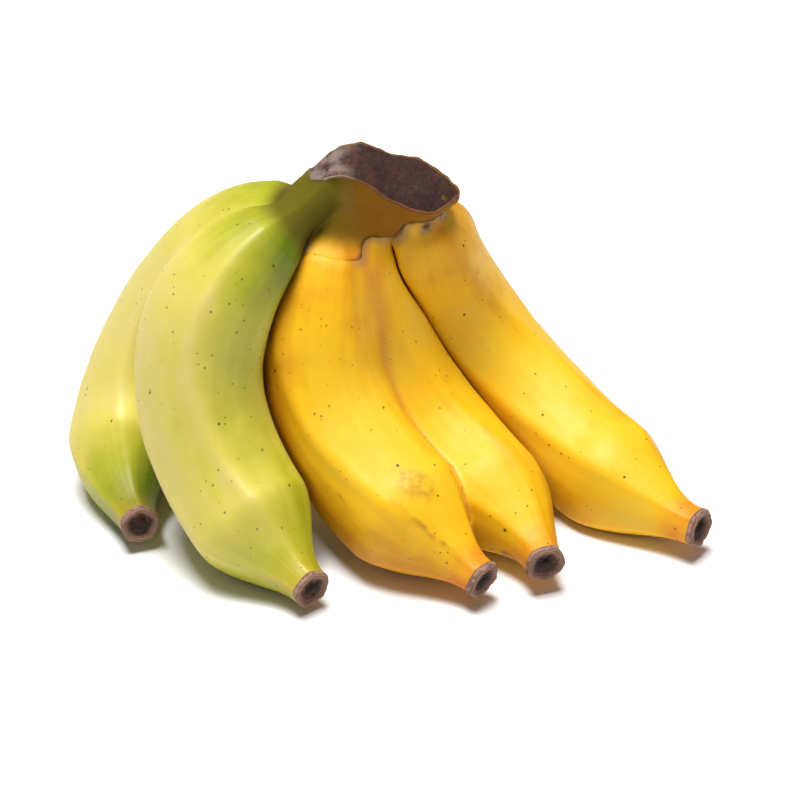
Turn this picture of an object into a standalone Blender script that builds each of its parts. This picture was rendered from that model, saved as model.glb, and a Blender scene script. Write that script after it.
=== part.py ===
"""A hand of short, plump bananas as it stands on a table: the cut crown is on top, the fruits arch down from it and
lie on their outer sides, and their flower ends all point the same way, to the front right. Two of the fruits grew
together as a twin. Numbers are in millimetres, and MM turns them into Blender's metres."""

import math

import bmesh
import bpy
import numpy as np
from mathutils import Vector

MM = 0.001

# Every banana's end, and the ridges round it
TIP_RADIUS = 6.0
RIDGES = 5
RIDGE_HEIGHT = 0.034
RIDGE_TWIST = math.radians(60.0)

# The room left between a fruit and its flower end, round the fruits in the crown, and between pressed fruits
GAP = 0.3
CROWN_GAP = 0.45
PRESSED_GAP = 0.6

# Faces: sides round a fruit, and length of one step along it
SIDES = 26
STEP_LENGTH = 5.4

# The hollow side of every fruit faces the front right
INNER_WAY = (0.55, -0.83, 0.0)

# The middle of the whole hand, seen from above: the origin is on the table below it
MIDDLE = Vector((-4.5, -9.1, 0.0))

# Each banana: the control points of its middle line from crown to flower end, the radii of its neck and body, the
# lengths of its shoulder and of its closing end, the angle of one ridge, how far the crown reaches down the neck and
# the neck runs on into the crown, and the bananas that it presses against
BANANA_TABLE = {
    "green_back": dict(
        route=((-26, 13, 100), (-49, 23, 84), (-71, 35, 67), (-83, 35, 29), (-97, 15, 7), (-82, -28, 10)),
        neck=6.2, body=18.6, shoulder=50.0, taper=37.0, ridge=92.0, root=7.0, stub=9.0,
        presses=("green_front", "twin_front", "twin_back"),
    ),
    "green_front": dict(
        route=((-29, 4, 103), (-55, -8, 85), (-71, -9, 72), (-67, -16, 35), (-51, -31, 14), (-28, -60, 9)),
        neck=5.6, body=19.6, shoulder=53.0, taper=31.0, ridge=65.0, root=6.0, stub=9.0,
        presses=("green_back", "twin_front"),
    ),
    "twin_front": dict(
        route=((-20, 8, 97), (-22, 2, 77), (-36, -3, 49), (-22, -11, 31), (-3, -32, 19), (24, -57, 10)),
        neck=7.6, body=19.8, shoulder=42.0, taper=34.0, ridge=88.0, root=6.0, stub=9.0,
        presses=("green_back", "green_front"),
    ),
    "twin_back": dict(
        route=((-8, 10, 99), (-14, 16, 75), (-9, 17, 38), (9, 3, 15), (34, -19, 15), (44, -51, 12)),
        neck=7.6, body=18.4, shoulder=42.0, taper=37.0, ridge=20.0, root=6.0, stub=9.0,
        presses=("green_back", "yellow_back"),
    ),
    "yellow_back": dict(
        route=((5, 9, 103), (2, 27, 70), (23, 44, 38), (46, 25, 16), (65, -12, 11), (92, -32, 11)),
        neck=6.4, body=18.5, shoulder=33.0, taper=37.0, ridge=-10.0, root=0.0, stub=3.0,
        presses=("twin_back",),
    ),
}

# The crown's cut, from its left end to its right end: x, height, half of its width, how much higher its back edge
# is than its front edge, and the depth of the wall below it
CUT_MIDDLE_Y = 11.0
CUT_TABLE = (
    (-27.0, 111.0, 0.6, 0.0, 8.0),
    (-24.0, 113.0, 4.0, 0.4, 13.0),
    (-20.5, 116.0, 6.2, 1.2, 18.0),
    (-16.5, 117.3, 7.8, 1.6, 20.0),
    (-12.0, 116.8, 8.8, 2.4, 20.0),
    (-8.0, 115.0, 9.4, 2.6, 18.0),
    (-3.5, 112.2, 9.6, 3.2, 16.0),
    (0.5, 110.6, 9.2, 5.0, 11.0),
    (5.0, 109.8, 8.4, 6.6, 6.0),
    (9.0, 108.4, 7.0, 5.8, 4.5),
    (13.5, 106.8, 4.8, 3.8, 3.5),
    (17.5, 106.0, 0.8, 1.6, 3.0),
)
# The crown's wall from the cut down, as shares of its depth and of the cut's half width
CROWN_WALL = ((0.0, 1.0), (0.2, 0.9), (0.5, 0.8), (1.0, 0.72))
# Left of the cut, the crown runs down to the necks of the green fruits
CROWN_TOE = (-35.0, 105.0, 3.0, 0.0, 3.0)
CROWN_SPARE = 3.0
CROWN_VOXEL = 2.4
CROWN_SMOOTHING = 5
# The stubs of the necks are thicker by what the smoothing takes off
STUB_EXTRA = 0.7

# The dry stump of each flower: distance beyond the fruit's end, and radius as a share of the end's
COLLAR_PROFILE = ((GAP, 0.96), (1.6, 1.03), (2.6, 0.95), (2.9, 0.84), (1.9, 0.7), (1.7, 0.42), (2.9, 0.28), (3.2, 0.1))
COLLAR_SIDES = 16

SKIN_GREEN = (0.55, 0.56, 0.12)
SKIN_YELLOW = (0.83, 0.50, 0.05)
SKIN_CROWN = (0.36, 0.28, 0.05)
DRY_BROWN = (0.10, 0.06, 0.05)


def smooth_step(x):
    x = np.clip(x, 0.0, 1.0)
    return x * x * (3.0 - 2.0 * x)


def bezier(points, u):
    """Points of the Bezier curve with these control points, by de Casteljau's repeated steps."""
    levels = [np.outer(np.ones_like(u), point) for point in points]
    while len(levels) > 1:
        levels = [a + (b - a) * u[:, None] for a, b in zip(levels, levels[1:])]
    return levels[0]


class Banana:
    """One banana's shape: its middle line, its thickness along it, and the ridges round it."""

    SAMPLES = 160
    PRESS_STEPS = 5

    def __init__(self, route, neck, body, shoulder, taper, ridge, root, stub, presses):
        self.neck, self.body = neck, body
        self.shoulder, self.taper = shoulder, taper
        self.ridge_turn = math.radians(ridge)
        self.root, self.stub = root, stub
        self.presses = presses
        self.centre = bezier(route, np.linspace(0.0, 1.0, self.SAMPLES))
        steps = np.linalg.norm(np.diff(self.centre, axis=0), axis=1)
        self.along = np.concatenate(([0.0], np.cumsum(steps)))
        self.length = self.along[-1]
        self.tangent = np.gradient(self.centre, axis=0)
        self.tangent /= np.linalg.norm(self.tangent, axis=1)[:, None]
        self.inner = self.carried_frame()
        self.side = np.cross(self.tangent, self.inner)

    def carried_frame(self):
        """The inner direction at each sample, carried along the curve without twisting."""
        inner = np.array(INNER_WAY)
        carried = []
        for tangent in self.tangent:
            inner = inner - tangent * np.dot(inner, tangent)
            inner = inner / np.linalg.norm(inner)
            carried.append(inner)
        return np.array(carried)

    def read(self, table, s):
        """The table's values at distances s. Beyond either end the curve runs on straight."""
        values = np.array([np.interp(s, self.along, table[:, axis]) for axis in range(3)]).T
        if table is self.centre:
            before, after = np.minimum(s, 0.0), np.maximum(s - self.length, 0.0)
            values = values + np.outer(before, self.tangent[0]) + np.outer(after, self.tangent[-1])
        return values

    def girth(self, s):
        """The radius at distance s from the crown: it swells quickly, stays full, and closes to a blunt end."""
        swell = 1.0 - (1.0 - np.clip(s / self.shoulder, 0.0, 1.0)) ** 2.3
        swell = swell * smooth_step(s / (0.35 * self.shoulder) + 0.25)
        close = smooth_step((s - self.length + self.taper) / self.taper)
        full = self.neck + (self.body - self.neck) * swell
        return full + (TIP_RADIUS - full) * close

    def reach(self, s, turn):
        """The distance from the middle line to the skin, at angle turn round it."""
        angle = RIDGES * (turn - self.ridge_turn + RIDGE_TWIST * s / self.length)
        return self.girth(s) * (1.0 + RIDGE_HEIGHT * (np.cos(angle) + 0.25 * np.cos(2.0 * angle)))

    def skin(self, s, turn, extra=0.0):
        """Points of the skin at distance s and angle turn, or that much extra outside it."""
        out = (self.reach(s, turn) + extra)[:, None]
        inner, side = self.read(self.inner, s), self.read(self.side, s)
        return self.read(self.centre, s) + out * (inner * np.cos(turn)[:, None] + side * np.sin(turn)[:, None])

    def clearance(self, points):
        """How far each point is outside this banana's skin. It is negative inside."""
        away = points[:, None, :] - self.centre[None, :, :]
        nearest = np.argmin(np.linalg.norm(away, axis=2), axis=1)
        away = away[np.arange(len(points)), nearest]
        across = np.sum(away * self.side[nearest], axis=1)
        inward = np.sum(away * self.inner[nearest], axis=1)
        return np.linalg.norm(away, axis=1) - self.reach(self.along[nearest], np.arctan2(across, inward))

    def ring(self, s, sides, extra=0.0):
        """One ring of the skin. Where a neighbour is too near, it sinks in until both have sunk alike."""
        where, turn = np.full(sides, s), np.linspace(0.0, 2.0 * math.pi, sides, endpoint=False)
        full = self.skin(where, turn)
        inward = self.read(self.centre, where) - full
        depth = np.linalg.norm(inward, axis=1)
        sunk = np.full(sides, -extra)
        for _ in range(self.PRESS_STEPS):
            points = full + inward * (sunk / depth)[:, None]
            lack = [PRESSED_GAP - 2.0 * extra - sunk - BANANAS[name].clearance(points) for name in self.presses]
            sunk = np.clip(sunk + np.max(lack, axis=0) / 2.0, -extra, 0.8 * depth)
        return full + inward * (sunk / depth)[:, None]

    def rings(self, first, last, extra=0.0):
        count = round((last - first) / STEP_LENGTH) + 1
        return [self.ring(s, SIDES, extra) for s in np.linspace(first, last, count)]


def loft(rings):
    """A closed mesh: one ring of edges extruded from each section to the next, with both ends filled."""
    bm = bmesh.new()
    place = bm.verts.layers.int.new("place")
    bmesh.ops.create_circle(bm, cap_ends=False, segments=len(rings[0]), radius=1.0)
    for index, vert in enumerate(bm.verts):
        vert[place] = index
        vert.co = (Vector(rings[0][index]) - MIDDLE) * MM
    first = edges = bm.edges[:]
    for ring in rings[1:]:
        grown = bmesh.ops.extrude_edge_only(bm, edges=edges)["geom"]
        verts = {part for part in grown if isinstance(part, bmesh.types.BMVert)}
        for vert in verts:
            vert.co = (Vector(ring[vert[place]]) - MIDDLE) * MM
        edges = [part for part in grown if isinstance(part, bmesh.types.BMEdge) and verts.issuperset(part.verts)]
    bmesh.ops.holes_fill(bm, edges=first + edges, sides=0)
    bmesh.ops.recalc_face_normals(bm, faces=bm.faces)
    return bm


def new_object(name, bm):
    mesh = bpy.data.meshes.new(name)
    bm.to_mesh(mesh)
    bm.free()
    thing = bpy.data.objects.new(name, mesh)
    bpy.context.scene.collection.objects.link(thing)
    return thing


def as_cutter(thing):
    thing.hide_render = True
    thing.display_type = "WIRE"
    return thing


def boolean(thing, operation, other):
    modifier = thing.modifiers.new(operation.title(), "BOOLEAN")
    modifier.operation = operation
    modifier.object = other
    modifier.solver = "EXACT"


def finish(thing, colour, roughness):
    """Gives a piece its material and smooth shading."""
    material = bpy.data.materials.new(thing.name)
    material.use_nodes = True
    shader = material.node_tree.nodes["Principled BSDF"]
    shader.inputs["Base Color"].default_value = (*colour, 1.0)
    shader.inputs["Roughness"].default_value = roughness
    thing.data.materials.append(material)
    thing.data.shade_smooth()


def table_block():
    """The table, as a cutter: it leaves each fruit a small flat spot where its weight rests."""
    width, depth = 400.0 * MM, 40.0 * MM
    bm = bmesh.new()
    bmesh.ops.create_cube(bm, size=1.0)
    bmesh.ops.scale(bm, vec=Vector((width, width, depth)), verts=bm.verts)
    bmesh.ops.translate(bm, vec=Vector((0.0, 0.0, -depth / 2.0)), verts=bm.verts)
    return as_cutter(new_object("table_block", bm))


def fruit_body(node, name, extra=0.0):
    banana = BANANAS[name]
    return new_object(node, loft(banana.rings(banana.root - extra, banana.length + extra, extra)))


def single_fruit(node, name, table, colour):
    fruit = fruit_body(node, name)
    boolean(fruit, "DIFFERENCE", table)
    finish(fruit, colour, 0.45)


def twin_fruit(node, table, colour):
    """Two bananas that grew side by side in one skin."""
    fruit = fruit_body(node, "twin_front")
    boolean(fruit, "UNION", as_cutter(fruit_body("twin_other_half", "twin_back")))
    boolean(fruit, "DIFFERENCE", table)
    finish(fruit, colour, 0.45)


def blossom_end(node, name):
    """The dry stump of the flower: a short collar with a dished face and a stub in its middle."""
    banana = BANANAS[name]
    end = np.full(COLLAR_SIDES, banana.length)
    turn = np.linspace(0.0, 2.0 * math.pi, COLLAR_SIDES, endpoint=False)
    centre, way = banana.read(banana.centre, end), banana.read(banana.tangent, end)
    out = banana.skin(end, turn) - centre
    thing = new_object(node, loft([centre + way * forward + out * share for forward, share in COLLAR_PROFILE]))
    finish(thing, DRY_BROWN, 0.9)


def cut_point(station, across, above=0.0):
    """A point of the cut at a station, at across half widths from its middle line, or that far above it."""
    x, height, half, rise, _ = station
    return Vector((x, CUT_MIDDLE_Y + half * across, height + rise * across / 2.0 + above))


def crown_rings():
    """Sections of the crown from left to right: over the top, and down and round below."""
    deck = (-1.0, -0.5, 0.0, 0.5, 1.0)
    rings = []
    for station in (CROWN_TOE, *CUT_TABLE):
        spare = 0.0 if station is CROWN_TOE else CROWN_SPARE
        ring = [cut_point(station, across, spare) for across in deck]
        wall = [(depth * station[-1], share) for depth, share in CROWN_WALL]
        ring += [cut_point(station, share, -depth) for depth, share in wall]
        ring += [cut_point(station, -share, -depth) for depth, share in reversed(wall)]
        rings.append(ring)
    return rings


def slice_rings():
    """Sections of the block that slices the crown's top off along the cut."""
    margin, height = 14.0, 25.0
    left, right = CUT_TABLE[0], CUT_TABLE[-1]
    rings = []
    for station in ((left[0] - margin, *left[1:]), *CUT_TABLE, (right[0] + margin, *right[1:])):
        ring = [cut_point(station, across) for across in (1.0, 0.5, 0.0, -0.5, -1.0)]
        out = Vector((0.0, margin, 0.0))
        top = Vector((0.0, 0.0, height))
        ring = [ring[0] + out + top, ring[0] + out] + ring + [ring[-1] - out, ring[-1] - out + top]
        rings.append(ring)
    return rings


def crown(cutters):
    """The fleshy crown: its body and the stub of every neck fused, with the top and the fruits' room cut away."""
    bm = loft(crown_rings())
    for banana in BANANAS.values():
        stub = loft([banana.ring(s, SIDES, STUB_EXTRA) for s in np.linspace(-banana.stub, banana.root, 6)])
        mesh = bpy.data.meshes.new("stub")
        stub.to_mesh(mesh)
        stub.free()
        bm.from_mesh(mesh)
        bpy.data.meshes.remove(mesh)
    thing = new_object("crown", bm)
    fuse = thing.modifiers.new("Fuse", "REMESH")
    fuse.mode = "VOXEL"
    fuse.voxel_size = CROWN_VOXEL * MM
    fillet = thing.modifiers.new("Fillet", "SMOOTH")
    fillet.iterations = CROWN_SMOOTHING
    for cutter in cutters:
        boolean(thing, "DIFFERENCE", cutter)
    finish(thing, SKIN_CROWN, 0.55)


for old in list(bpy.data.objects):
    bpy.data.objects.remove(old)

BANANAS = {name: Banana(**row) for name, row in BANANA_TABLE.items()}
table_cutter = table_block()
single_fruit("fruit_green_back", "green_back", table_cutter, SKIN_GREEN)
single_fruit("fruit_green_front", "green_front", table_cutter, SKIN_GREEN)
twin_fruit("fruit_yellow_twin", table_cutter, SKIN_YELLOW)
single_fruit("fruit_yellow_back", "yellow_back", table_cutter, SKIN_YELLOW)
for banana_name in BANANAS:
    blossom_end("blossom_end_" + banana_name, banana_name)

slice_off = as_cutter(new_object("slice_off", loft(slice_rings())))
crown([slice_off] + [as_cutter(fruit_body("room_" + name, name, CROWN_GAP)) for name in BANANAS])
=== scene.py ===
# %% [markdown]
# # A hand of bananas
# One hand of five short, plump bananas stands on the bellies of its fruits. Two fruits are still yellow green, three
# are golden, and two of the golden ones grew together as a twin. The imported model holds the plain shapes. This lesson
# gives each of them its fine shape and its skin, one piece after another, in the same place.

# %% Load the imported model
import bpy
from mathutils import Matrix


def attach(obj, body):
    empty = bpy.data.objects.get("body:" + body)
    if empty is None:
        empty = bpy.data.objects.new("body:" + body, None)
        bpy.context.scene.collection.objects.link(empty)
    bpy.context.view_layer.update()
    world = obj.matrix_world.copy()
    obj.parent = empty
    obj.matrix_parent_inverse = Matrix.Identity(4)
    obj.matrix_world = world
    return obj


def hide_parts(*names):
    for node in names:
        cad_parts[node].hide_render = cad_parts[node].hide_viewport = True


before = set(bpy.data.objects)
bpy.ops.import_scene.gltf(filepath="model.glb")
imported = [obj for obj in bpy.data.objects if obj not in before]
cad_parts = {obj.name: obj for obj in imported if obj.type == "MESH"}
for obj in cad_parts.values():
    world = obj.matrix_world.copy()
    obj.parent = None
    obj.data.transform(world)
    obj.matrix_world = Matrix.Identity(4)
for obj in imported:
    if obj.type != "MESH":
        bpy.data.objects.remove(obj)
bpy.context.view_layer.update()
print("packed nodes:", len(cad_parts))

# %% Tools and units
import math

import bmesh
import bpy
import numpy as np
from mathutils import Vector, kdtree, noise
from mathutils.bvhtree import BVHTree

# Shapes are worked out in millimetres, and MM turns them into metres. MIDDLE is below the middle of the hand.
MM = 0.001
MIDDLE = np.array((-4.5, -9.1, 0.0))


# %% [markdown]
# ## The shape of one banana
# A banana is drawn as a curved middle line with a thickness along it and five soft ridges round it. The line is a
# Bezier curve, because a fruit that bent towards the light while it grew has no straight part and no sudden bend.
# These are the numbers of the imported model, so that the fine skins lie where its solids are.

# %% The numbers of each banana
TIP_RADIUS = 6.0
RIDGES = 5
RIDGE_TWIST = math.radians(60.0)
INNER_WAY = (0.55, -0.83, 0.0)
BANANA_TABLE = {
    "green_back": dict(
        route=((-26, 13, 100), (-49, 23, 84), (-71, 35, 67), (-83, 35, 29), (-97, 15, 7), (-82, -28, 10)),
        neck=6.2, body=18.6, shoulder=50.0, taper=37.0, ridge=92.0, root=7.0, stub=9.0,
    ),
    "green_front": dict(
        route=((-29, 4, 103), (-55, -8, 85), (-71, -9, 72), (-67, -16, 35), (-51, -31, 14), (-28, -60, 9)),
        neck=5.6, body=19.6, shoulder=53.0, taper=31.0, ridge=65.0, root=6.0, stub=9.0,
    ),
    "twin_front": dict(
        route=((-20, 8, 97), (-22, 2, 77), (-36, -3, 49), (-22, -11, 31), (-3, -32, 19), (24, -57, 10)),
        neck=7.6, body=19.8, shoulder=42.0, taper=34.0, ridge=88.0, root=6.0, stub=9.0,
    ),
    "twin_back": dict(
        route=((-8, 10, 99), (-14, 16, 75), (-9, 17, 38), (9, 3, 15), (34, -19, 15), (44, -51, 12)),
        neck=7.6, body=18.4, shoulder=42.0, taper=37.0, ridge=20.0, root=6.0, stub=9.0,
    ),
    "yellow_back": dict(
        route=((5, 9, 103), (2, 27, 70), (23, 44, 38), (46, 25, 16), (65, -12, 11), (92, -32, 11)),
        neck=6.4, body=18.5, shoulder=33.0, taper=37.0, ridge=-10.0, root=0.0, stub=3.0,
    ),
}


def smooth_step(x):
    x = np.clip(x, 0.0, 1.0)
    return x * x * (3.0 - 2.0 * x)


def bezier(points, u):
    """Points of the Bezier curve with these control points, by de Casteljau's repeated steps."""
    levels = [np.outer(np.ones_like(u), point) for point in points]
    while len(levels) > 1:
        levels = [a + (b - a) * u[:, None] for a, b in zip(levels, levels[1:])]
    return levels[0]


def along_rows(a, b):
    """The dot product of each row of a with the same row of b."""
    return np.einsum("ij,ij->i", a, b)


# %% The banana as a formula
class Banana:
    """One banana's middle line, thickness and ridges, and where any point lies beside it."""

    SAMPLES = 160
    RIDGE_HEIGHT = 0.036
    RIDGE_SHAPE = ((1, 1.0), (2, 0.34), (3, 0.15), (4, 0.07))

    def __init__(self, route, neck, body, shoulder, taper, ridge, root, stub):
        self.neck, self.body = neck, body
        self.shoulder, self.taper = shoulder, taper
        self.ridge_turn = math.radians(ridge)
        self.root, self.stub = root, stub
        self.centre = bezier(route, np.linspace(0.0, 1.0, self.SAMPLES))
        steps = np.linalg.norm(np.diff(self.centre, axis=0), axis=1)
        self.along = np.concatenate(([0.0], np.cumsum(steps)))
        self.length = self.along[-1]
        self.tangent = np.gradient(self.centre, axis=0)
        self.tangent /= np.linalg.norm(self.tangent, axis=1)[:, None]
        inner, carried = np.array(INNER_WAY), []
        for tangent in self.tangent:
            inner = inner - tangent * np.dot(inner, tangent)
            inner = inner / np.linalg.norm(inner)
            carried.append(inner)
        self.inner = np.array(carried)
        self.side = np.cross(self.tangent, self.inner)

    def read(self, table, s):
        """The table's values at distances s. Beyond either end the curve runs on straight."""
        values = np.array([np.interp(s, self.along, table[:, axis]) for axis in range(3)]).T
        if table is self.centre:
            before, after = np.minimum(s, 0.0), np.maximum(s - self.length, 0.0)
            values = values + np.outer(before, self.tangent[0]) + np.outer(after, self.tangent[-1])
        return values

    def girth(self, s):
        """The radius at distance s from the crown: it swells quickly, stays full, and closes to a blunt end."""
        swell = 1.0 - (1.0 - np.clip(s / self.shoulder, 0.0, 1.0)) ** 2.3
        swell = swell * smooth_step(s / (0.35 * self.shoulder) + 0.25)
        close = smooth_step((s - self.length + self.taper) / self.taper)
        full = self.neck + (self.body - self.neck) * swell
        return full + (TIP_RADIUS - full) * close

    def ridge_angle(self, s, turn):
        return RIDGES * (turn - self.ridge_turn + RIDGE_TWIST * s / self.length)

    def reach(self, s, turn):
        """The distance from the middle line to the skin, at angle turn round it."""
        angle = self.ridge_angle(s, turn)
        ridges = sum(share * np.cos(count * angle) for count, share in self.RIDGE_SHAPE)
        return self.girth(s) * (1.0 + self.RIDGE_HEIGHT * ridges)

    def outward(self, s, turn):
        return self.read(self.inner, s) * np.cos(turn)[:, None] + self.read(self.side, s) * np.sin(turn)[:, None]

    def locate(self, points):
        """For each point: how far along the banana it is, the angle round it, and the vector from the middle line."""
        parts = np.array_split(points, len(points) // 4000 + 1)
        nearest = [np.argmin(((part[:, None] - self.centre) ** 2).sum(axis=2), axis=1) for part in parts]
        s = self.along[np.concatenate(nearest)]
        for _ in range(3):
            away = points - self.read(self.centre, s)
            s = np.clip(s + along_rows(away, self.read(self.tangent, s)), -self.stub, self.length)
        away = points - self.read(self.centre, s)
        turn = np.arctan2(along_rows(away, self.read(self.side, s)), along_rows(away, self.read(self.inner, s)))
        return s, turn, away

    def clearance(self, points):
        """How far each point is outside this banana's skin. It is negative inside."""
        s, turn, away = self.locate(points)
        return np.linalg.norm(away, axis=1) - self.reach(s, turn)


BANANAS = {name: Banana(**row) for name, row in BANANA_TABLE.items()}
print("middle lines, mm:", {name: round(banana.length) for name, banana in BANANAS.items()})

# %% [markdown]
# ## How neighbours press and how a twin grows
# Where two fruits of a hand press on each other, both give way alike and a flat contact forms half way between them.
# As a formula: the skin is where the larger of two numbers is zero, the distance outside the own full shape, and half
# the difference of the two distances. A soft maximum rounds the edge of the flat. A twin is the opposite: the soft
# minimum of two distances joins both halves by a rounded valley.

# %% Soft minimum, pressed skins and the twin's skin
PRESSED_GAP = 0.5
PRESSED_SOFT = 1.6
PRESSES = {
    "green_back": ("green_front", "twin_front", "twin_back"),
    "green_front": ("green_back", "twin_front"),
    "twin": ("green_back", "green_front", "yellow_back"),
    "yellow_back": ("twin_back",),
}


def soft_least(a, b, width):
    near = np.maximum(width - np.abs(a - b), 0.0) / width
    return np.minimum(a, b) - near * near * width / 4.0


def pressed(own, points, names):
    """The distance outside a fruit that gives way to these neighbours."""
    distance = own
    for name in names:
        squeeze = (own - BANANAS[name].clearance(points) + PRESSED_GAP) / 2.0
        distance = -soft_least(-distance, -squeeze, PRESSED_SOFT)
    return distance


def valley_width(s):
    """The twin's valley is wide and soft near the crown, and it ends as a fine crease near the flower ends."""
    return 2.2 + 6.0 * smooth_step(1.0 - s / 95.0)


# %% [markdown]
# ## Meshes grown ring by ring
# A fruit's skin is one ring of edges that is extruded again and again along the middle line, as a potter raises a
# coil. Two integer layers remember which ring and which place a vertex has, so the formulas can move it later.

# %% Rings into skins
def grown_tube(count, sides):
    """A closed tube of count rings, with the layers ring and place."""
    bm = bmesh.new()
    ring, place = bm.verts.layers.int.new("ring"), bm.verts.layers.int.new("place")
    bmesh.ops.create_circle(bm, cap_ends=False, segments=sides, radius=1.0)
    for index, vert in enumerate(bm.verts):
        vert[place] = index
    first = edges = bm.edges[:]
    for index in range(1, count):
        grown = bmesh.ops.extrude_edge_only(bm, edges=edges)["geom"]
        verts = {part for part in grown if isinstance(part, bmesh.types.BMVert)}
        for vert in verts:
            vert[ring] = index
        edges = [part for part in grown if isinstance(part, bmesh.types.BMEdge) and verts.issuperset(part.verts)]
    bmesh.ops.holes_fill(bm, edges=first + edges, sides=0)
    return bm


def shaped_tube(rings):
    """The tube through these rings of points, in metres from the middle of the hand."""
    rings = (np.array(rings) - MIDDLE) * MM
    bm = grown_tube(len(rings), len(rings[0]))
    ring, place = bm.verts.layers.int["ring"], bm.verts.layers.int["place"]
    for vert in bm.verts:
        vert.co = rings[vert[ring], vert[place]]
    bm.normal_update()
    bmesh.ops.recalc_face_normals(bm, faces=bm.faces)
    return bm


def new_piece(name, bm):
    """The mesh as a smooth object at the origin."""
    mesh = bpy.data.meshes.new(name)
    bm.to_mesh(mesh)
    bm.free()
    mesh.shade_smooth()
    piece = bpy.data.objects.new(name, mesh)
    bpy.context.scene.collection.objects.link(piece)
    return piece


def join(bm, other):
    """Adds another mesh to this one, and frees it."""
    mesh = bpy.data.meshes.new("part")
    other.to_mesh(mesh)
    other.free()
    bm.from_mesh(mesh)
    bpy.data.meshes.remove(mesh)


def with_modifiers_applied(piece):
    graph = bpy.context.evaluated_depsgraph_get()
    plain, piece.data = piece.data, bpy.data.meshes.new_from_object(piece.evaluated_get(graph), depsgraph=graph)
    piece.modifiers.clear()
    piece.data.name = piece.name
    piece.data.shade_smooth()
    bpy.data.meshes.remove(plain)
    return piece


def remeshed(piece, voxel, rounds):
    """Fuses overlapping shells into one even skin, and smooths it this many rounds."""
    fuse = piece.modifiers.new("Fuse", "REMESH")
    fuse.mode = "VOXEL"
    fuse.voxel_size = voxel * MM
    piece.modifiers.new("Smooth", "SMOOTH").iterations = rounds
    return with_modifiers_applied(piece)


def read_vectors(piece, field):
    flat = np.empty(len(piece.data.vertices) * 3)
    piece.data.vertices.foreach_get(field, flat)
    return flat.reshape(-1, 3)


def read_points(piece):
    """The mesh's vertices, in millimetres as the table of bananas has them."""
    return read_vectors(piece, "co") / MM + MIDDLE


def read_layer(piece, name):
    values = np.empty(len(piece.data.vertices), dtype=np.int32)
    piece.data.attributes[name].data.foreach_get("value", values)
    return values


def write_points(piece, points):
    piece.data.vertices.foreach_set("co", ((points - MIDDLE) * MM).ravel())
    piece.data.update()


def paint(piece, **layers):
    """Keeps a number, or a vector, for each vertex, for the materials to read."""
    for name, values in layers.items():
        kind, field = ("FLOAT_VECTOR", "vector") if values.ndim == 2 else ("FLOAT", "value")
        layer = piece.data.attributes.new(name, kind, "POINT")
        layer.data.foreach_set(field, values.astype(np.float32).ravel())


def waves(points, size, seed):
    """Soft noise between about -1 and 1, with hills this many millimetres apart."""
    shift = Vector((seed * 17.3, seed * 5.1, seed * 9.7))
    return np.array([noise.noise(Vector(point) / size + shift) for point in points])


# %% [markdown]
# ## The body of the crown
# The crown is the fleshy knot where all the fruits were joined to the plant's stalk. It is built before the fruits,
# because every neck flares where it meets it. A table gives the knife's cut on top, section by section, and how far
# the wall below reaches down. A fine remesh makes one even skin of it, from which distances are measured.

# %% Sections of the crown
CUT_MIDDLE_Y = 11.0
CUT_TABLE = np.array((  # x, height, half width, how much higher the back edge is, depth of the wall below
    (-27.0, 112.8, 0.6, 0.0, 9.5),
    (-24.0, 114.4, 3.6, 0.4, 14.0),
    (-20.5, 116.5, 6.0, 1.2, 18.5),
    (-16.5, 117.3, 7.8, 1.6, 20.0),
    (-12.0, 116.8, 8.8, 2.4, 20.0),
    (-8.0, 115.0, 9.4, 2.6, 18.0),
    (-3.5, 112.2, 9.6, 3.2, 16.0),
    (0.5, 110.6, 9.2, 5.0, 11.0),
    (5.0, 109.8, 8.4, 6.6, 6.0),
    (9.0, 108.4, 7.0, 5.8, 4.5),
    (13.5, 106.8, 4.8, 3.8, 3.5),
    (17.5, 106.0, 0.8, 1.6, 3.0),
))
CROWN_TOE = (-35.0, 105.0, 3.0, 0.0, 3.0)
CROWN_WALL = ((0.0, 1.0), (0.10, 0.88), (0.25, 0.76), (0.55, 0.68), (1.0, 0.6))
CROWN_SPARE = 5.5
CUT_X = np.linspace(CUT_TABLE[0, 0], CUT_TABLE[-1, 0], 101)


def cut_rows(x):
    """The cut's table read at any x, with its corners rounded off."""
    offsets = np.linspace(-1.6, 1.6, 9)
    return np.mean([[np.interp(x + offset, CUT_TABLE[:, 0], column) for column in CUT_TABLE.T[1:]]
                    for offset in offsets], axis=0).T


def cut_level(x, y, row):
    """The height of the cut above any spot. Near both ends its slope stays gentle."""
    height, half, rise, _ = row
    return height + rise * (y - CUT_MIDDLE_Y) / (2.0 * np.maximum(half, 3.5))


def section(x, row):
    """One section of the crown: over the top, and down and round below."""
    half, depth = row[1], row[3]
    spare = CROWN_SPARE * smooth_step((x - CUT_X[0]) / 4.0)
    across = [(half * a, spare) for a in (-1.0, -0.5, 0.0, 0.5, 1.0)]
    across += [(half * share, -depth * down) for down, share in CROWN_WALL]
    across += [(-half * share, -depth * down) for down, share in reversed(CROWN_WALL)]
    return [(x, CUT_MIDDLE_Y + a, cut_level(x, CUT_MIDDLE_Y + a, row) + up) for a, up in across]


toe = [(x, y, min(z, CROWN_TOE[1])) for x, y, z in section(CROWN_TOE[0], CROWN_TOE[1:])]
body = new_piece("crown_body", shaped_tube([toe] + [section(x, row) for x, row in zip(CUT_X, cut_rows(CUT_X))]))
remeshed(body, 0.9, 6)
BODY_TREE = BVHTree.FromObject(body, bpy.context.evaluated_depsgraph_get())
crown_bm = bmesh.new()
crown_bm.from_mesh(body.data)
bpy.data.objects.remove(body)
print("body of the crown:", len(crown_bm.faces), "faces")


# %% Flesh that flows from the crown into the necks
WEB = 8.0


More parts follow.
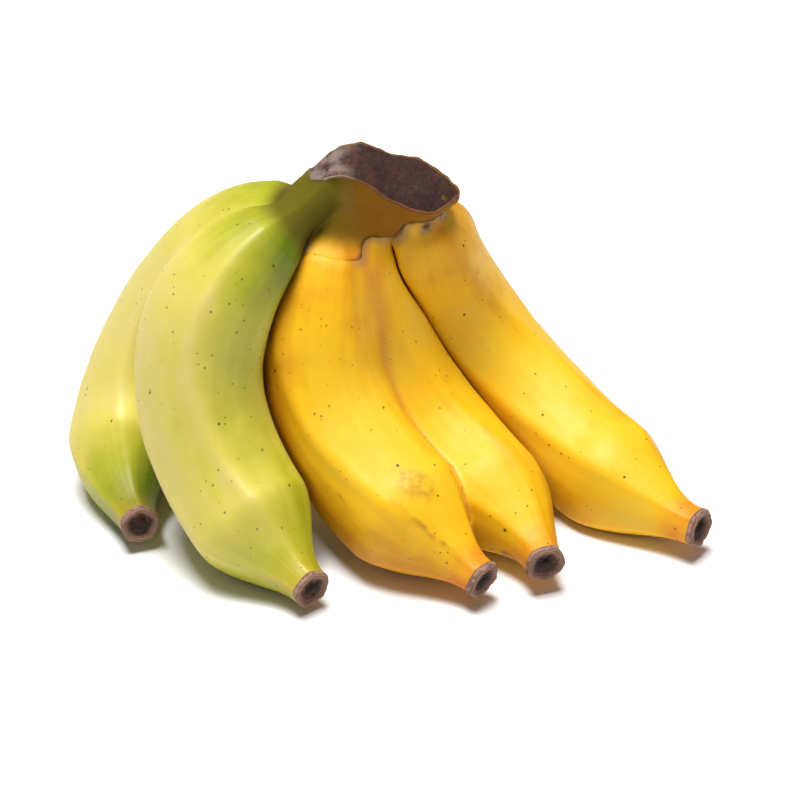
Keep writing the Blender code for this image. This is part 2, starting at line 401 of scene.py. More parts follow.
def side_of(tree, points):
    """Distances of points from a closed surface, negative inside."""
    found = [tree.find_nearest((point - MIDDLE) * MM) for point in points]
    return np.array([math.copysign(far, ((point - MIDDLE) * MM - np.array(spot)).dot(normal)) / MM
                     for point, (spot, normal, _, far) in zip(points, found)])


def flared(own, points):
    """A fruit's distance once its neck flares into the crown."""
    near = np.nonzero((points[:, 2] > 80.0) & (own < WEB))[0]
    result = own.copy()
    if len(near):
        result[near] = soft_least(own[near], side_of(BODY_TREE, points[near]), WEB)
    return result


# %% [markdown]
# ## The fruit skins
# Ripe skins are never quite even: they have shallow hollows a finger wide, and low bumps. Each vertex gets both from
# soft noise. At the flower end the skin closes over the dry stump with a small rolled edge.

# %% Marks that the skins' colours follow
GREENS = ("green_back", "green_front")
# The way towards the lamp, up and to the left: skin that faces it is painted lighter, as painted light.
SUNNY_WAY = np.array((-0.75, -0.25, 0.6))


def ripeness(name, s, outward, ridge):
    """How far the skin has ripened, with painted light and shade in it. Green fruits ripen first on their ridges, and
    their necks are greener. The side that faces the lamp is painted lighter, the necks are painted darker as shade
    under the crown, and the front half of the twin is painted darker on its side towards the green fruits, as their
    shade.
    """
    banana = BANANAS[name]
    tip = smooth_step((s - banana.length + 45.0) / 45.0)
    sunny = outward @ SUNNY_WAY
    if name in GREENS:
        # Green necks are greener, and are also painted darker as shade under the crown, most on the side away from the
        # lamp.
        neck = (1.0 - smooth_step((s - 6.0) / 34.0)) * (0.42 - 0.14 * sunny)
        return 0.4 + 0.08 * ridge + 0.15 * sunny - neck - (0.46 if name == "green_back" else 0.2) * tip
    # Golden necks are painted darker as shade under the crown. The front half of the twin is painted darker on its side
    # towards the green fruits, as their shade.
    neck = 1.0 - smooth_step((s - 6.0) / 34.0)
    flank = smooth_step(-outward @ np.array((0.95, 0.0, 0.3))) if name == "twin_front" else 0.0
    return 0.84 + 0.04 * ridge - 0.06 * sunny + 0.06 * neck + 0.2 * flank


def skin_marks(name, s, turn):
    """Painted layers for one banana: how far it has ripened, with painted light and shade in that, stains near the
    flower end, and coordinates along its fibres.
    """
    banana = BANANAS[name]
    ridge = (0.5 + 0.5 * np.cos(banana.ridge_angle(s, turn))) ** 4
    around = np.array((np.cos(turn), np.sin(turn))) * banana.body
    return dict(
        ripe=ripeness(name, s, banana.outward(s, turn), ridge),
        stain=smooth_step((s - banana.length + 12.0) / 12.0) * (0.2 if name in GREENS else 0.9),
        fibre=np.column_stack((*around, s)) * MM,
    )


def uneven(points, outward, s):
    """Moves points out and in a little, as skins are uneven, but not where the crown covers them."""
    lift = 0.34 * waves(points, 17.0, 1.0) + 0.11 * waves(points, 6.0, 2.0)
    points = points + outward * (lift * smooth_step((s - 6.0) / 16.0))[:, None]
    points[:, 2] = np.maximum(points[:, 2], 0.0)
    return points


# %% The three single fruits
SIDES = 120
RING_STEP = 1.25
SKIN_START = {"green_back": 5.0, "green_front": 5.0, "twin_front": 5.0, "twin_back": 8.0, "yellow_back": 3.0}
ROLLED_EDGE = ((0.5, 0.985), (0.9, 0.94), (0.95, 0.86), (0.6, 0.78))


def grid(stations, sides):
    """A tube's distances and angles, ring after ring."""
    turn = np.linspace(0.0, 2.0 * math.pi, sides, endpoint=False)
    return np.repeat(stations, sides), np.tile(turn, len(stations))


def single_fruit(name):
    """The skin of one banana from just inside the crown to the rolled edge at its flower end."""
    banana, start = BANANAS[name], SKIN_START[name]
    body = np.linspace(banana.root - start, banana.length, round((banana.length + start) / RING_STEP))
    stations = np.concatenate((body, banana.length + np.array([forward for forward, _ in ROLLED_EDGE])))
    shares = np.concatenate((np.ones_like(body), [share for _, share in ROLLED_EDGE]))
    s, turn = grid(stations, SIDES)
    centre, outward, full = banana.read(banana.centre, s), banana.outward(s, turn), banana.reach(s, turn)
    reach = full.copy()
    for _ in range(7):
        points = centre + outward * reach[:, None]
        reach = reach - np.clip(flared(pressed(reach - full, points, PRESSES[name]), points), -1.5, 3.0)
    reach = np.clip(reach, 0.2 * full, full + 5.0) * np.repeat(shares, SIDES)
    points = uneven(centre + outward * reach[:, None], outward, s)
    piece = new_piece("skin_" + name, shaped_tube(points.reshape(len(stations), SIDES, 3)))
    row = read_layer(piece, "ring") * SIDES + read_layer(piece, "place")
    paint(piece, **skin_marks(name, s[row], turn[row]))
    print(piece.name, "has", len(piece.data.polygons), "faces")
    return piece


SKINS = {name: single_fruit(name) for name in ("green_back", "green_front", "yellow_back")}

# %% [markdown]
# ## The twin
# Two flowers that sat side by side grew into one skin. Both tubes are fused by a fine voxel remesh, and each vertex
# then slides onto the soft minimum of the two distances, which makes the valley between them.

# %% The twin's skin
TWIN_VOXEL = 0.85
HALF_RINGS, HALF_SIDES = 90, 56
HALVES = ("twin_front", "twin_back")
twin_bm = bmesh.new()
for half in HALVES:
    banana = BANANAS[half]
    s, turn = grid(np.linspace(banana.root - SKIN_START[half], banana.length + 0.8, HALF_RINGS), HALF_SIDES)
    points = banana.read(banana.centre, s) + banana.outward(s, turn) * banana.reach(s, turn)[:, None]
    join(twin_bm, shaped_tube(points.reshape(HALF_RINGS, HALF_SIDES, 3)))
twin = remeshed(new_piece("skin_twin", twin_bm), TWIN_VOXEL, 0)


def twin_field(points):
    """The twin's distance, its way outward, and how deep in the valley each point is."""
    found = [BANANAS[half].locate(points) for half in HALVES]
    reaches = [BANANAS[half].reach(s, turn) for half, (s, turn, _) in zip(HALVES, found)]
    far = [np.linalg.norm(away, axis=1) for _, _, away in found]
    a, b = far[0] - reaches[0], far[1] - reaches[1]
    width = valley_width((found[0][0] + found[1][0]) / 2.0)
    near = np.maximum(width - np.abs(a - b), 0.0) / width
    own = soft_least(a, b, width)
    first = np.where(a < b, 1.0 - near / 2.0, near / 2.0)[:, None]
    outward = found[0][2] / far[0][:, None] * first + found[1][2] / far[1][:, None] * (1.0 - first)
    outward /= np.maximum(np.linalg.norm(outward, axis=1), 0.2)[:, None]
    return own, outward, near, found, a < b


points = read_points(twin)
for _ in range(6):
    own, outward, near, found, in_front = twin_field(points)
    ends = [BANANAS[half].length + 0.7 - s for half, (s, _, _) in zip(HALVES, found)]
    on_end = np.where(in_front, ends[0], ends[1]) < 0.9
    starts = [s - BANANAS[half].root + SKIN_START[half] for half, (s, _, _) in zip(HALVES, found)]
    on_start = np.where(in_front, starts[0], starts[1]) < 0.9
    step = np.where(on_end | on_start, 0.0, flared(pressed(own, points, PRESSES["twin"]), points))
    points = points - outward * np.clip(step, -1.5, 1.5)[:, None]
write_points(twin, uneven(points, outward, np.where(in_front, found[0][0], found[1][0])))
marks = [skin_marks(half, s, turn) for half, (s, turn, _) in zip(HALVES, found)]
chosen = {name: np.where(in_front if marks[0][name].ndim == 1 else in_front[:, None], marks[0][name], marks[1][name])
          for name in marks[0]}


# %% [markdown]
# Fruits rub on leaves and on each other while they hang. The twin has a mottled rubbed patch on its belly, a short
# scratch, a brown line on a ridge, and a dry scar between its two tips, where both halves parted. The crease at the
# bottom of its valley is brown too, in broken strokes, and only away from the crown.

# %% Rubbed patches of the twin
RUBS = (  # middle, half length, half width, which way it runs, how strong it is
    ((4.5, -44.7, 36.0), 8.0, 5.0, (0.8, -0.2, -0.5), 0.55),
    ((-18.0, -42.6, 29.3), 3.4, 0.6, (0.7, -0.4, -0.5), 1.0),
    ((33.8, -44.9, 8.8), 4.6, 1.9, (0.5, -0.8, -0.1), 1.3),
    ((8.4, -53.8, 25.0), 14.0, 0.9, (0.77, -0.25, -0.59), 0.7),
)


def rub_marks(points):
    marks = np.zeros(len(points))
    for middle, length, width, way, strength in RUBS:
        offset, way = points - np.array(middle), np.array(way) / np.linalg.norm(way)
        along = offset @ way
        across = np.linalg.norm(offset - along[:, None] * way, axis=1)
        far = np.hypot(along / length, across / width) + 0.25 * waves(points, 3.0, 15.0)
        marks = np.maximum(marks, strength * (1.0 - smooth_step((far - 0.5) / 0.7)))
    return marks


middle_s = (found[0][0] + found[1][0]) / 2.0
crease = smooth_step((near - 0.78) / 0.2) * smooth_step((middle_s - 60.0) / 30.0)
crease *= 0.75 + 0.6 * waves(points, 4.0, 16.0)
paint(twin, valley=near, rub=np.maximum(rub_marks(points), crease), **chosen)
SKINS["twin"] = twin
print(twin.name, "has", len(twin.data.polygons), "faces")

# %% [markdown]
# ## The crown
# A knife cut the crown off the stalk, and the cut curled and dried. The body is fused with a stub of every neck. Each
# vertex then slides along its normal onto the soft minimum of all distances, so that flesh webs over the corners.
# Just beyond its root, each neck's part of the crown dives under the fruit's own skin, and no gap shows.

# %% The crown's flesh
CROWN_VOXEL = 0.6
STUB_RINGS, STUB_SIDES = 24, 48
CROWN_EDGES = {  # how far the crown reaches along each banana, how much it stands over the skin, how steeply it dives
    "green_back": (13.0, 0.12, 0.3),
    "green_front": (12.0, 0.12, 0.3),
    "twin_front": (8.0, 0.15, 0.5),
    "twin_back": (0.5, 0.45, 1.0),
    "yellow_back": (-1.6, 0.45, 1.0),
}
FOLDS = {"twin_back": 1.6, "yellow_back": 0.8}   # how far from the crown's body these skins fold over it
for name, banana in BANANAS.items():
    end = CROWN_EDGES[name][0]
    s, turn = grid(np.linspace(-banana.stub, end + 5.0, STUB_RINGS), STUB_SIDES)
    reach = banana.reach(s, turn) + 0.2 - 1.6 * smooth_step((s - end) / 5.0)
    points = banana.read(banana.centre, s) + banana.outward(s, turn) * reach[:, None]
    join(crown_bm, shaped_tube(points.reshape(STUB_RINGS, STUB_SIDES, 3)))
crown = remeshed(new_piece("crown_flesh", crown_bm), CROWN_VOXEL, 8)


def neck_distances(points):
    """Each banana's distance from the points, and the place and angle along it."""
    found = {name: banana.locate(points) for name, banana in BANANAS.items()}
    return {name: (np.linalg.norm(away, axis=1) - BANANAS[name].reach(s, turn), s, turn)
            for name, (s, turn, away) in found.items()}


def crown_distance(points):
    body, necks = side_of(BODY_TREE, points), neck_distances(points)
    greens = soft_least(necks["green_back"][0], necks["green_front"][0], 2.5)
    halves = [necks[half] for half in HALVES]
    twin = soft_least(halves[0][0], halves[1][0], valley_width((halves[0][1] + halves[1][1]) / 2.0))
    flows = [soft_least(body, neck, WEB) for neck in (greens, twin, necks["yellow_back"][0])]
    weights = {name: 1.0 / (0.5 + np.maximum(gap, 0.0)) ** 2 for name, (gap, _, _) in necks.items()}
    total = sum(weights.values())
    ends = {name: necks[name][1] - CROWN_EDGES[name][0] for name in necks}
    for name, fold in FOLDS.items():
        ends[name] = np.minimum(ends[name], body - fold)
    beyond = sum(weights[name] * ends[name] for name in necks) / total
    over = sum(weights[name] * CROWN_EDGES[name][1] for name in necks) / total
    slope = sum(weights[name] * CROWN_EDGES[name][2] for name in necks) / total
    flesh = soft_least(soft_least(flows[0], flows[1], 1.5), flows[2], 1.5)
    return flesh - over + slope * np.maximum(beyond, 0.0)


for _ in range(5):
    points, normals = read_points(crown), read_vectors(crown, "normal")
    step = np.clip(crown_distance(points), -1.0, 1.0) * 0.8
    write_points(crown, points - normals * step[:, None])
remeshed(crown, CROWN_VOXEL, 4)


# %% The knife's cut
def cutting_block():
    """A block above the cut, with a fine grid on its lower side."""
    across = np.linspace(1.0, -1.0, 41)
    rings = []
    for x, row in zip(CUT_X, cut_rows(CUT_X)):
        reach = max(row[1], 3.0) + 4.0
        y = CUT_MIDDLE_Y + reach * across
        lower = list(zip(np.full(len(y), x), y, cut_level(x, y, row)))
        rings.append([(x, y[0], row[0] + 25.0)] + lower + [(x, y[-1], row[0] + 25.0)])
    left = [(x - 10.0, y, z + 8.0) for x, y, z in rings[0]]
    right = [(x + 14.0, y, z) for x, y, z in rings[-1]]
    return shaped_tube([left] + rings + [right])


block = new_piece("cutting_block", cutting_block())
knife = crown.modifiers.new("Knife", "BOOLEAN")
knife.operation = "DIFFERENCE"
knife.object = block
knife.solver = "EXACT"
with_modifiers_applied(crown)
bpy.data.objects.remove(block)
print(crown.name, "has", len(crown.data.polygons), "faces")

# %% [markdown]
# The dried cut is rough with torn fibres. At its rim the skin shrank back and left a thin, curled lip. The vertices
# of the cut are the ones at the knife's level, and at its thin right end also the ones that sank below it. Every
# vertex then learns how far the nearest vertex of the rim is, so that relief and lip can fade with that distance.

# %% Where the cut and its rim are
points = read_points(crown)
level = cut_level(points[:, 0], points[:, 1], cut_rows(points[:, 0]).T)
sunken = (points[:, 0] > 8.0) & (read_vectors(crown, "normal")[:, 2] > 0.6) & (level - points[:, 2] < 3.0)
on_cut = (np.abs(points[:, 2] - level) < 0.1) | sunken
edge_ends = np.empty(len(crown.data.edges) * 2, dtype=np.int32)
crown.data.edges.foreach_get("vertices", edge_ends)
edge_ends = edge_ends.reshape(-1, 2)
across_rim = edge_ends[on_cut[edge_ends[:, 0]] != on_cut[edge_ends[:, 1]]]
rim = np.unique(across_rim[on_cut[across_rim]])
rim_tree = kdtree.KDTree(len(rim))
for index, vertex in enumerate(rim):
    rim_tree.insert(points[vertex], index)
rim_tree.balance()
from_rim = np.array([rim_tree.find(point)[2] for point in points])
print("the cut has", on_cut.sum(), "vertices, and its rim has", len(rim))

# %% Relief of the cut
relief = 0.7 * waves(points, 5.0, 3.0) + 0.45 * waves(points, 1.8, 4.0) + 0.25 * waves(points, 0.8, 5.0)
points[:, 2] += np.where(on_cut, relief * smooth_step(from_rim / 1.5), 0.0)
lip = (1.0 - smooth_step(from_rim / 1.1)) * (0.4 + 0.5 * waves(points, 2.4, 8.0))
points[:, 1] += lip * np.sign(points[:, 1] - CUT_MIDDLE_Y) * smooth_step((points[:, 0] + 26.0) / 4.0)
points[:, 2] += 0.4 * lip
write_points(crown, points)

# %% [markdown]
# Where the golden fruits come out of the crown, the skin folds over it, and the colour is painted dark along the fold
# and grey beside it.
# That line follows the place where both surfaces meet, so it is found from the distance between the parts of them
# that show.

# %% The dark fold on the skins
CROWN_TREE = BVHTree.FromObject(crown, bpy.context.evaluated_depsgraph_get())


def dark_part(points):
    """How dark the fold is along the hand: not at its left end, and darkest near the right."""
    return smooth_step((points[:, 0] + 19.0) / 8.0) * (0.75 + 0.25 * smooth_step((points[:, 0] + 8.0) / 6.0))


def part_of(piece, kept):
    """The faces whose vertices are all kept, as a tree to measure from."""
    faces = [face.vertices[:] for face in piece.data.polygons if kept[list(face.vertices)].all()]
    return BVHTree.FromPolygons([vert.co[:] for vert in piece.data.vertices], faces)


FAR_OFF = 99.0
graph = bpy.context.evaluated_depsgraph_get()
points = read_points(crown)
outside = [side_of(BVHTree.FromObject(skin, graph), points) > 0.0 for skin in SKINS.values()]
SEEN_CROWN = part_of(crown, np.all(outside, axis=0))
seen_skins = []
for name in ("yellow_back", "twin"):
    points = read_points(SKINS[name])
    to_crown, to_seen = np.full(len(points), FAR_OFF), np.full(len(points), FAR_OFF)
    close = points[:, 2] > 78.0
    to_crown[close] = side_of(CROWN_TREE, points[close])
    to_seen[close] = np.abs(side_of(SEEN_CROWN, points[close]))
    width = 6.0 + 3.0 * waves(points, 7.0, 11.0)
    paint(SKINS[name], bruise=dark_part(points) * (1.0 - smooth_step((to_seen - 0.1) / width)))
    seen_skins.append(part_of(SKINS[name], (to_crown > 0.0) & (to_crown < 20.0)))
print("fold painted on", len(seen_skins), "skins")

# %% [markdown]
# The crown takes its ripening, with the painted light and shade in it, from the neck that is nearest, so that its green
# runs on into the green fruits. Its wall gets painted shade, darker than any skin, and a painted shadow is darkest in
# the crease between the green fruits and the twin.

# %% Colours of the crown
points = read_points(crown)
x, y, z = points.T
to_skins = np.min([np.abs(side_of(tree, points)) for tree in seen_skins], axis=0)
PLAIN_WEIGHT = 0.02
weight, fibre = np.full(len(points), PLAIN_WEIGHT), np.zeros((len(points), 3))
ripe = PLAIN_WEIGHT * (0.12 + 0.6 * smooth_step((x + 24.0) / 14.0))
necks = neck_distances(points)
for name, (gap, s, turn) in necks.items():
    share = 1.0 / (0.4 + np.maximum(gap, 0.0)) ** 3
    marks = skin_marks(name, s, turn)
    weight += share
    ripe += share * marks["ripe"]
    fibre += share[:, None] * marks["fibre"]
golden_part = smooth_step((x + 22.0) / 12.0)
# Painted shadow: dark in the crease between the green fruits' necks and the twin, low on the crown and towards the
# front.
apart = necks["green_front"][0] - np.minimum(necks["twin_front"][0], necks["twin_back"][0])
hollow = np.exp(-(apart / 2.0) ** 2) * smooth_step((104.0 - z) / 10.0) * smooth_step((4.0 - y) / 6.0)
# Painted shade for the crown below the cut: full where the golden skins fold over the crown, and along the other necks
# fading out towards the crown's edge.
deep, total = np.zeros(len(points)), np.zeros(len(points))
for name, (gap, s, _) in necks.items():
    share = 1.0 / (0.5 + np.maximum(gap, 0.0)) ** 2
    deep += share * (1.0 if name in FOLDS else smooth_step((CROWN_EDGES[name][0] - s) / 7.0))
    total += share
paint(
    crown, ripe=ripe / weight, fibre=fibre / weight[:, None], deep=deep / total, hollow=hollow, right=golden_part,
    cut=on_cut * 1.0, rim=(1.0 - smooth_step(from_rim / 1.6)) * smooth_step((x + 25.5) / 3.0),
    stain=0.9 * golden_part * (1.0 - 0.5 * smooth_step(x / 14.0)),
    bruise=dark_part(points) * (1.0 - smooth_step((to_skins - 0.2) / (1.8 + waves(points, 5.0, 12.0)))),
)
print("crown painted")

# %% [markdown]
# ## The dry flower ends
# The flower dried at the end of each fruit and left a short brown stump: a ringed rim round a sunken, darker middle
# with the nub of the style in it. Its rim is ragged, so every ring is shaken by noise. A stump's section is a short
# table: how far forward each ring is, and its share of the fruit's radius.

# %% Five flower ends
STUMP = (
    (-0.6, 0.9), (0.2, 0.99), (0.8, 1.03), (1.5, 1.04), (2.2, 1.02), (2.7, 0.97), (2.9, 0.9), (2.7, 0.82),
    (2.2, 0.74), (1.9, 0.66), (1.8, 0.55), (1.7, 0.45), (1.8, 0.36), (2.3, 0.29), (2.7, 0.21), (2.8, 0.12),
    (2.8, 0.03),
)
STUMP_SIDES = 64


def flower_end(name):
    banana = BANANAS[name]
    forward, share = np.array(STUMP).T
    turn = np.linspace(0.0, 2.0 * math.pi, STUMP_SIDES, endpoint=False)
    end = np.full(STUMP_SIDES, banana.length)
    centre, way = banana.read(banana.centre, end), banana.read(banana.tangent, end)
    out = banana.outward(end, turn) * banana.reach(end, turn)[:, None]
    rings = np.array([centre + way * f + out * w for f, w in zip(forward, share)])
    flat = rings.reshape(-1, 3)
    rough = waves(flat, 1.7, 6.0) * 0.35 + waves(flat, 0.7, 7.0) * 0.18
    amount = np.repeat(smooth_step((forward - 0.2) / 1.5) * np.minimum(share * 3.0, 1.0), STUMP_SIDES)
    flat = flat + np.tile(way, (len(forward), 1)) * (rough * amount)[:, None]
    piece = new_piece("flower_end_" + name, shaped_tube(flat.reshape(rings.shape)))
    paint(piece, share=share[read_layer(piece, "ring")])
    return piece


FLOWER_ENDS = {name: flower_end(name) for name in BANANAS}
print("flower ends:", len(FLOWER_ENDS))

# %% [markdown]
# ## Node groups that the materials share
# Colours are chosen as a painter reads them, from 0 to 255, and turned into the linear light that shaders use.

# %% Small helpers for node trees
def tone(red, green, blue):
    """A colour from screen values to linear ones, with full alpha."""
    return tuple((value / 255.0) ** 2.2 for value in (red, green, blue)) + (1.0,)


def add(tree, kind, inputs=(), **settings):
    """A node with its settings made and its inputs set or linked."""
    made = tree.nodes.new("ShaderNode" + kind)
    for key, value in settings.items():
        setattr(made, key, value)
    for key, value in dict(inputs).items():
        if isinstance(value, bpy.types.NodeSocket):
            tree.links.new(value, made.inputs[key])
        else:
            made.inputs[key].default_value = value
    return made


def free(tree, operation, *values):
    """A Math node without a clamp."""
    return add(tree, "Math", dict(enumerate(values)), operation=operation).outputs[0]


def calc(tree, operation, a, b):
    """A Math node whose result stays between 0 and 1."""
    return add(tree, "Math", {0: a, 1: b}, operation=operation, use_clamp=True).outputs[0]


def between(tree, value, low, high, bottom=0.0, top=1.0):
    """The value read as a smooth step from low to high."""
    sockets = {"Value": value, "From Min": low, "From Max": high, "To Min": bottom, "To Max": top}
    return add(tree, "MapRange", sockets, interpolation_type="SMOOTHSTEP").outputs[0]


def mixed(tree, factor, a, b, way="MIX"):
    return add(tree, "Mix", {0: factor, 6: a, 7: b}, data_type="RGBA", blend_type=way).outputs[2]


def cloud(tree, vector, scale, detail=2.0, roughness=0.5):
    sockets = {"Vector": vector, "Scale": scale, "Detail": detail, "Roughness": roughness}
    return add(tree, "TexNoise", sockets).outputs[0]


def mark(tree, name):
    return add(tree, "Attribute", attribute_name=name).outputs["Fac"]


def new_group(name, inputs, outputs):
    """An empty node group. Sockets are name: default, and outputs are name: kind."""
    tree = bpy.data.node_groups.new(name, "ShaderNodeTree")
    for label, value in inputs.items():
        kind = "Float" if isinstance(value, float) else "Color" if len(value) == 4 else "Vector"
        tree.interface.new_socket(label, in_out="INPUT", socket_type="NodeSocket" + kind).default_value = value
    for label, kind in outputs.items():
        tree.interface.new_socket(label, in_out="OUTPUT", socket_type="NodeSocket" + kind)
    return tree, tree.nodes.new("NodeGroupInput").outputs, tree.nodes.new("NodeGroupOutput").inputs


def use(tree, group, **inputs):
    made = tree.nodes.new("ShaderNodeGroup")
    made.node_tree = group
    for key, value in inputs.items():
        socket = made.inputs[key.replace("_", " ")]
        if isinstance(value, bpy.types.NodeSocket):
            tree.links.new(value, socket)
        else:
            socket.default_value = value
    return made.outputs


# %% [markdown]
# Banana skins carry small brown specks, scars of rubbing and of sugar. They come in clusters and in several sizes. A
# Voronoi pattern gives one dot to a cell, a random number of the cell sets its size, and noise thins them out.

# %% Specks
def speck_layer(tree, where, scale, size, rare, patchy):
    """One size of speck: dots where a cell's random number is over rare, more of them where patchy noise is high."""
    dots = add(tree, "TexVoronoi", {"Vector": where, "Scale": scale, "Randomness": 1.0})
    pick = add(tree, "SeparateColor", {0: dots.outputs["Color"]}).outputs
    chance = free(tree, "MULTIPLY_ADD", patchy, 0.35, pick[0])
    radius = free(tree, "MULTIPLY_ADD", pick[1], size, size * 0.6)
    ratio = free(tree, "DIVIDE", dots.outputs["Distance"], radius)
    dot = between(tree, ratio, 1.0, 0.45)
    return calc(tree, "MULTIPLY", dot, calc(tree, "GREATER_THAN", chance, rare))


SPECKS, inside, outside = new_group("Specks", {"Vector": (0.0, 0.0, 0.0), "Rare": 0.9}, {"Mask": "Float"})
shake = add(SPECKS, "TexNoise", {"Vector": inside["Vector"], "Scale": 900.0}).outputs["Color"]
shake = add(SPECKS, "VectorMath", {0: shake, 1: (0.4 * MM, 0.4 * MM, 0.4 * MM)}, operation="MULTIPLY").outputs[0]
bent = add(SPECKS, "VectorMath", {0: inside["Vector"], 1: shake}, operation="ADD").outputs[0]
patchy = cloud(SPECKS, inside["Vector"], 38.0, 1.0)
small = speck_layer(SPECKS, bent, 520.0, 0.18, inside["Rare"], patchy)
large = speck_layer(SPECKS, bent, 240.0, 0.13, free(SPECKS, "ADD", inside["Rare"], 0.045), patchy)
SPECKS.links.new(calc(SPECKS, "MAXIMUM", calc(SPECKS, "MULTIPLY", small, 0.8), large), outside["Mask"])
print("group:", SPECKS.name)

# %% [markdown]
# The skin's colour is built in layers. Ripening runs from green over yellow green to golden, and is ahead on the
# ridges. A pale step in it is a painted sheen on the lit tops of the green fruits, and its darkest golden end is
# painted shade. Fibres run lengthwise just under the skin, so faint streaks follow the fibre coordinates. Over these
# lie the
# painted marks: stains near the flower end, a brown tint in the twin's valley that is partly its own colour and partly
# painted shade, the dark fold by the crown, rubbed places, and last the specks.

# %% The banana skin group
SKIN, inside, outside = new_group(
    "Banana skin",
    {"Ripeness": 0.5, "Rare": 0.9, "Stain": 0.0, "Bruise": 0.0, "Valley": 0.0, "Rub": 0.0},
    {"Color": "Color", "Roughness": "Float", "Height": "Float"},
)
where = add(SKIN, "TexCoord").outputs["Object"]
fibre = add(SKIN, "Attribute", attribute_name="fibre").outputs["Vector"]
streaks = cloud(SKIN, add(SKIN, "Mapping", {"Vector": fibre, "Scale": (420.0, 420.0, 16.0)}).outputs[0], 1.0, 3.0)
blotches = cloud(SKIN, where, 26.0, 3.0)
mottle = cloud(SKIN, where, 130.0, 3.0)
ripeness = inside["Ripeness"]
for amount, source in ((0.34, blotches), (0.16, mottle), (0.10, streaks)):
    ripeness = free(SKIN, "ADD", ripeness, free(SKIN, "MULTIPLY_ADD", source, amount, -amount / 2.0))
ramp = add(SKIN, "ValToRGB", {0: ripeness})
# The pale step at 0.6 is a painted sheen on the lit tops of the green fruits. The dark golden end at 1.0 is painted
# shade, reached on the necks and on the twin's shaded side.
RIPENING = (
    (0.0, tone(92, 112, 12)), (0.3, tone(166, 164, 34)), (0.5, tone(204, 190, 78)), (0.6, tone(212, 194, 108)),
    (0.7, tone(222, 190, 58)), (0.85, tone(236, 180, 24)), (1.0, tone(206, 136, 4)),
)
while len(ramp.color_ramp.elements) < len(RIPENING):
    ramp.color_ramp.elements.new(0.5)
for element, (position, colour) in zip(ramp.color_ramp.elements, RIPENING):
    element.position, element.color = position, colour
colour = mixed(SKIN, between(SKIN, streaks, 0.35, 0.75, 0.0, 0.10), ramp.outputs[0], tone(190, 160, 60))
colour = mixed(SKIN, calc(SKIN, "MULTIPLY", inside["Stain"], between(SKIN, mottle, 0.2, 0.8, 0.5, 1.0)), colour,
               tone(206, 108, 34))
# The twin's valley is tinted brown: partly the seam's own colour, partly painted shade in the valley.
colour = mixed(SKIN, between(SKIN, inside["Valley"], 0.15, 1.0, 0.0, 0.5), colour, tone(196, 120, 52))
# Dark along the fold where the golden skins meet the crown, and grey beside it.
ragged = free(SKIN, "ADD", inside["Bruise"], between(SKIN, blotches, 0.3, 0.7, -0.15, 0.15))
colour = mixed(SKIN, between(SKIN, ragged, 0.2, 0.75, 0.0, 0.55), colour, tone(120, 98, 84))
colour = mixed(SKIN, between(SKIN, ragged, 0.75, 1.0, 0.0, 0.9), colour, tone(38, 28, 30))
rubbed = calc(SKIN, "MULTIPLY", inside["Rub"], between(SKIN, cloud(SKIN, where, 420.0, 3.0), 0.35, 0.62, 0.15, 1.0))
colour = mixed(SKIN, calc(SKIN, "MULTIPLY", rubbed, 0.85), colour, tone(146, 96, 44))
specks = use(SKIN, SPECKS, Vector=where, Rare=inside["Rare"])["Mask"]
colour = mixed(SKIN, calc(SKIN, "MULTIPLY", specks, 0.95), colour, tone(70, 46, 18))
SKIN.links.new(colour, outside["Color"])
SKIN.links.new(between(SKIN, mottle, 0.2, 0.8, 0.44, 0.58), outside["Roughness"])
pores = cloud(SKIN, where, 1400.0, 2.0)
SKIN.links.new(free(SKIN, "MULTIPLY_ADD", pores, 0.35, streaks), outside["Height"])
print("group:", SKIN.name)


# %% [markdown]
# Dried tissue turns dark purple brown to black, with torn fibres standing out pale. Thin pale lines come from the
# places where a noise crosses its middle value.

# %% The dried tissue group
DRIED, inside, outside = new_group("Dried tissue", {"Pale": 0.5}, {"Color": "Color", "Height": "Float"})
where = add(DRIED, "TexCoord").outputs["Object"]
patches = cloud(DRIED, where, 90.0, 4.0, 0.6)
grain = cloud(DRIED, where, 700.0, 4.0, 0.65)
lines = free(DRIED, "ABSOLUTE", free(DRIED, "SUBTRACT", cloud(DRIED, where, 520.0, 3.0), 0.5))
fibres = calc(DRIED, "MULTIPLY", between(DRIED, lines, 0.018, 0.004), between(DRIED, patches, 0.42, 0.6))
colour = mixed(DRIED, between(DRIED, patches, 0.3, 0.55), tone(30, 22, 20), tone(66, 46, 40))
colour = mixed(DRIED, between(DRIED, cloud(DRIED, where, 160.0, 2.0), 0.52, 0.7, 0.0, 0.7), colour, tone(92, 54, 40))
colour = mixed(DRIED, between(DRIED, grain, 0.42, 0.75, 0.0, 0.36), colour, tone(118, 90, 80))
colour = mixed(DRIED, calc(DRIED, "MULTIPLY", fibres, inside["Pale"]), colour, tone(196, 168, 150))
DRIED.links.new(colour, outside["Color"])
DRIED.links.new(free(DRIED, "ADD", grain, fibres), outside["Height"])
print("group:", DRIED.name)


# %% [markdown]
# ## Materials
# Skin lets a little light in and has a waxy, satin shine, so it gets some subsurface light and a middle roughness.
# Unripe skin has more wax and shines more. The crown's wall is dull and darkened with painted shade, and its cut is
# dry:
# paler and greyer at the left, where it is thin, and nearly black at the right. The flower ends are dry too, with pale
# rings on their rims.

# %% Materials from the groups
def new_material(name):
    material = bpy.data.materials.new(name)
    material.use_nodes = True
    return material, material.node_tree, material.node_tree.nodes["Principled BSDF"]


